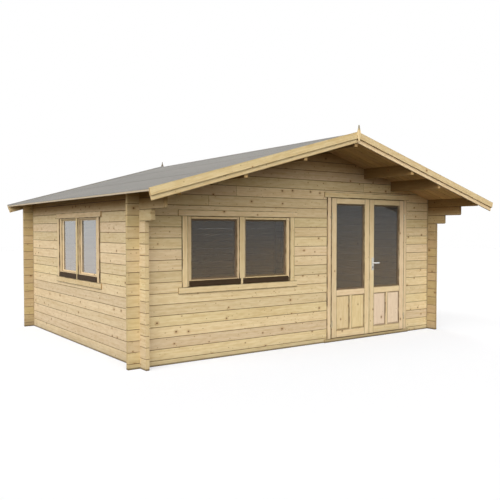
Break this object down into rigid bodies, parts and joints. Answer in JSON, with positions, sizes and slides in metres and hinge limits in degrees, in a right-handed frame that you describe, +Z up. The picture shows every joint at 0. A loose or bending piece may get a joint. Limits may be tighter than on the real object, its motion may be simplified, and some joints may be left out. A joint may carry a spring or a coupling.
{
  "type": "log cabin",
  "caption": "Garden log cabin with notched corner joints, felted gable roof with a deep front overhang, glazed double door with a lever handle, and double windows in front and left wall.",
  "frame": {"origin": "on the ground under the middle of the overall box", "axes": "+Z up, the front with the door and the large window faces -Y, +X along the front to the right"},
  "size_m": [5.3396, 4.844, 2.6771],
  "materials": {
    "wall_logs": "planed bare pine",
    "purlins": "planed bare pine",
    "roof_boards": "planed bare pine boards",
    "gable_boards": "planed bare pine",
    "cover_boards": "planed bare pine",
    "joinery": "planed bare pine",
    "frames": "planed bare pine",
    "threshold": "bare hardwood",
    "floor_timber": "planed bare pine boards",
    "drip_bars": "dark brown stain",
    "roof_felt": "mineral grey bitumen felt",
    "front_window_glass": "clear",
    "left_window_glass": "clear",
    "door_glass": "clear",
    "handle_metal": "satin",
    "hinge_metal": "zinc plated"
  },
  "bodies": {
    "cabin": {"back_finial": "gable_boards", "back_gable": "wall_logs", "back_lower_bargeboards": "gable_boards", "back_upper_bargeboards": "gable_boards", "back_wall": "wall_logs", "door_frame": "frames", "door_hinge_pins": "hinge_metal", "door_stops": "frames", "door_threshold": "threshold", "door_trim": "cover_boards", "floor_bearers": "floor_timber", "floor_boards": "floor_timber", "front_finial": "gable_boards", "front_gable": "wall_logs", "front_lower_bargeboards": "gable_boards", "front_upper_bargeboards": "gable_boards", "front_wall_below_window": "wall_logs", "front_wall_between_openings": "wall_logs", "front_wall_left_of_window": "wall_logs", "front_wall_over_window": "wall_logs", "front_wall_right_of_door": "wall_logs", "front_window_drip_bars": "drip_bars", "front_window_frame": "frames", "front_window_glass": "front_window_glass", "front_window_sashes": "joinery", "front_window_trim": "cover_boards", "left_purlins": "purlins", "left_roof_boards": "roof_boards", "left_roof_felt": "roof_felt", "left_wall_behind_window": "wall_logs", "left_wall_below_window": "wall_logs", "left_wall_front_of_window": "wall_logs", "left_wall_over_window": "wall_logs", "left_window_drip_bars": "drip_bars", "left_window_frame": "frames", "left_window_glass": "left_window_glass", "left_window_sashes": "joinery", "left_window_trim": "cover_boards", "ridge_purlin": "purlins", "right_purlins": "purlins", "right_roof_boards": "roof_boards", "right_roof_felt": "roof_felt", "right_wall": "wall_logs"},
    "left_door": {"left_door_leaf": "joinery", "left_door_panels": "joinery", "left_door_glass": "door_glass", "left_door_hinge_sleeves": "hinge_metal"},
    "right_door": {"right_door_leaf": "joinery", "right_door_panels": "joinery", "right_door_glass": "door_glass", "right_door_hinge_sleeves": "hinge_metal", "door_handle_plates": "handle_metal"},
    "door_lever": {"door_lever": "handle_metal"}
  },
  "joints": [
    {"name": "left_door_hinge", "type": "hinge", "parent": "cabin", "child": "left_door", "pos_m": [0.35546, -1.591, 0.95], "axis": [0, 0, -1], "range_deg": [0, 110]},
    {"name": "right_door_hinge", "type": "hinge", "parent": "cabin", "child": "right_door", "pos_m": [1.75696, -1.591, 0.95], "axis": [0, 0, 1], "range_deg": [0, 110]},
    {"name": "door_lever_turn", "type": "hinge", "parent": "right_door", "child": "door_lever", "pos_m": [1.11796, -1.563, 1.018], "axis": [0, 1, 0], "range_deg": [0, 40], "stiffness_Nm_per_rad": 3, "springref_deg": -20.05}
  ]
}
